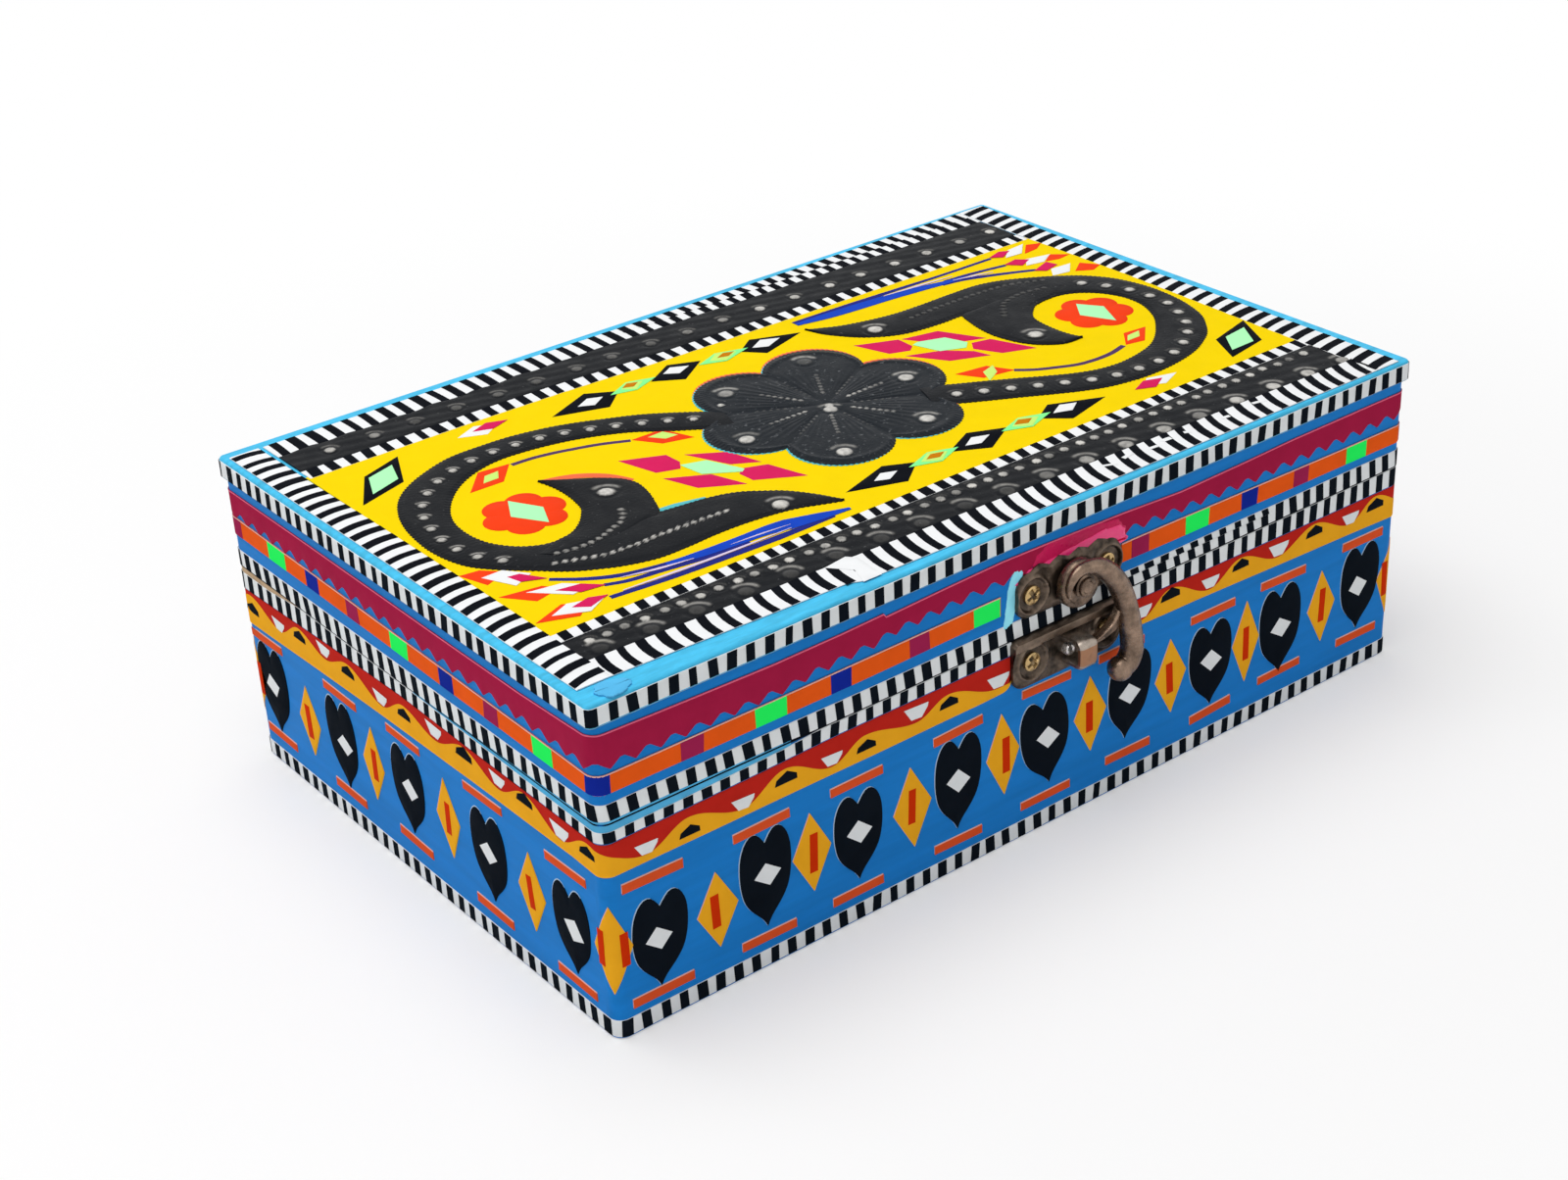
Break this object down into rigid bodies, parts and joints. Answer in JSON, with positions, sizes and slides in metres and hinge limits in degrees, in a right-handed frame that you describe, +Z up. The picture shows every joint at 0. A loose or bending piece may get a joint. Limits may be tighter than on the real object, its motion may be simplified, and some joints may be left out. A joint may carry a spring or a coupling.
{
  "type": "storage box",
  "caption": "Rectangular painted wooden storage box with a flat hinged lid, a swinging hook latch on the front and bright taped ornament on the lid and walls.",
  "frame": {"origin": "middle of the underside, on the surface that the box stands on", "axes": "+X along the front to the right, +Y from front to back, +Z up"},
  "size_m": [0.2516, 0.1734, 0.0851],
  "materials": {
    "painted_wood": "gloss enamel over planed wood, brush marks and worn edges",
    "bare_wood": "plain sanded wood",
    "stripe_tape": "black and white striped vinyl tape",
    "crimson_tape": "crimson foil-faced vinyl tape",
    "block_tape": "orange vinyl tape with inlaid blocks",
    "wave_tape": "red over orange vinyl tape",
    "black_tape": "black vinyl, hand embossed on the lid",
    "white_tape": "white vinyl",
    "amber_tape": "amber vinyl",
    "red_tape": "orange-red vinyl",
    "yellow_tape": "yellow vinyl sheet",
    "antique_bronze": "antiqued cast brass, dark in the hollows",
    "bright_brass": "plain turned brass"
  },
  "bodies": {
    "base": {"base_front_wall": "painted_wood", "base_back_wall": "painted_wood", "base_left_wall": "painted_wood", "base_right_wall": "painted_wood", "base_floor_panel": "bare_wood", "hinge_left_base_leaf": "antique_bronze", "hinge_left_pin": "antique_bronze", "hinge_right_base_leaf": "antique_bronze", "hinge_right_pin": "antique_bronze", "latch_base_plate": "antique_bronze", "latch_keeper": "antique_bronze", "hinge_base_screws": "bright_brass", "latch_base_screws": "bright_brass", "base_skirt_tape": "stripe_tape", "base_rim_tape": "stripe_tape", "base_wave_tape": "wave_tape", "base_hearts": "black_tape", "base_heart_lozenges": "white_tape", "base_diamonds": "amber_tape", "base_diamond_bars": "red_tape", "base_dashes": "red_tape"},
    "lid": {"lid_front_wall": "painted_wood", "lid_back_wall": "painted_wood", "lid_left_wall": "painted_wood", "lid_right_wall": "painted_wood", "lid_top_panel": "painted_wood", "hinge_left_lid_leaf": "antique_bronze", "hinge_right_lid_leaf": "antique_bronze", "latch_lid_plate": "antique_bronze", "latch_rivet": "antique_bronze", "hinge_lid_screws": "bright_brass", "latch_lid_screws": "bright_brass", "lid_rim_tape": "stripe_tape", "lid_edge_tape": "stripe_tape", "lid_border_tape": "stripe_tape", "lid_strip_front": "stripe_tape", "lid_strip_back": "stripe_tape", "lid_block_tape": "block_tape", "lid_zigzag_tape": "crimson_tape", "lid_top_sheet": "yellow_tape", "lid_band_front": "black_tape", "lid_band_back": "black_tape", "lid_flower": "black_tape", "lid_paisley_left": "black_tape", "lid_paisley_right": "black_tape", "lid_rosettes": "red_tape"},
    "hook": {"latch_hook": "antique_bronze"}
  },
  "joints": [
    {"name": "lid_hinge", "type": "hinge", "parent": "base", "child": "lid", "pos_m": [0, 0.0825, 0.05515], "axis": [-1, 0, 0], "range_deg": [0, 180]},
    {"name": "hook_swing", "type": "hinge", "parent": "lid", "child": "hook", "pos_m": [0.007, -0.0851, 0.0655], "axis": [0, -1, 0], "range_deg": [-15, 110]}
  ]
}
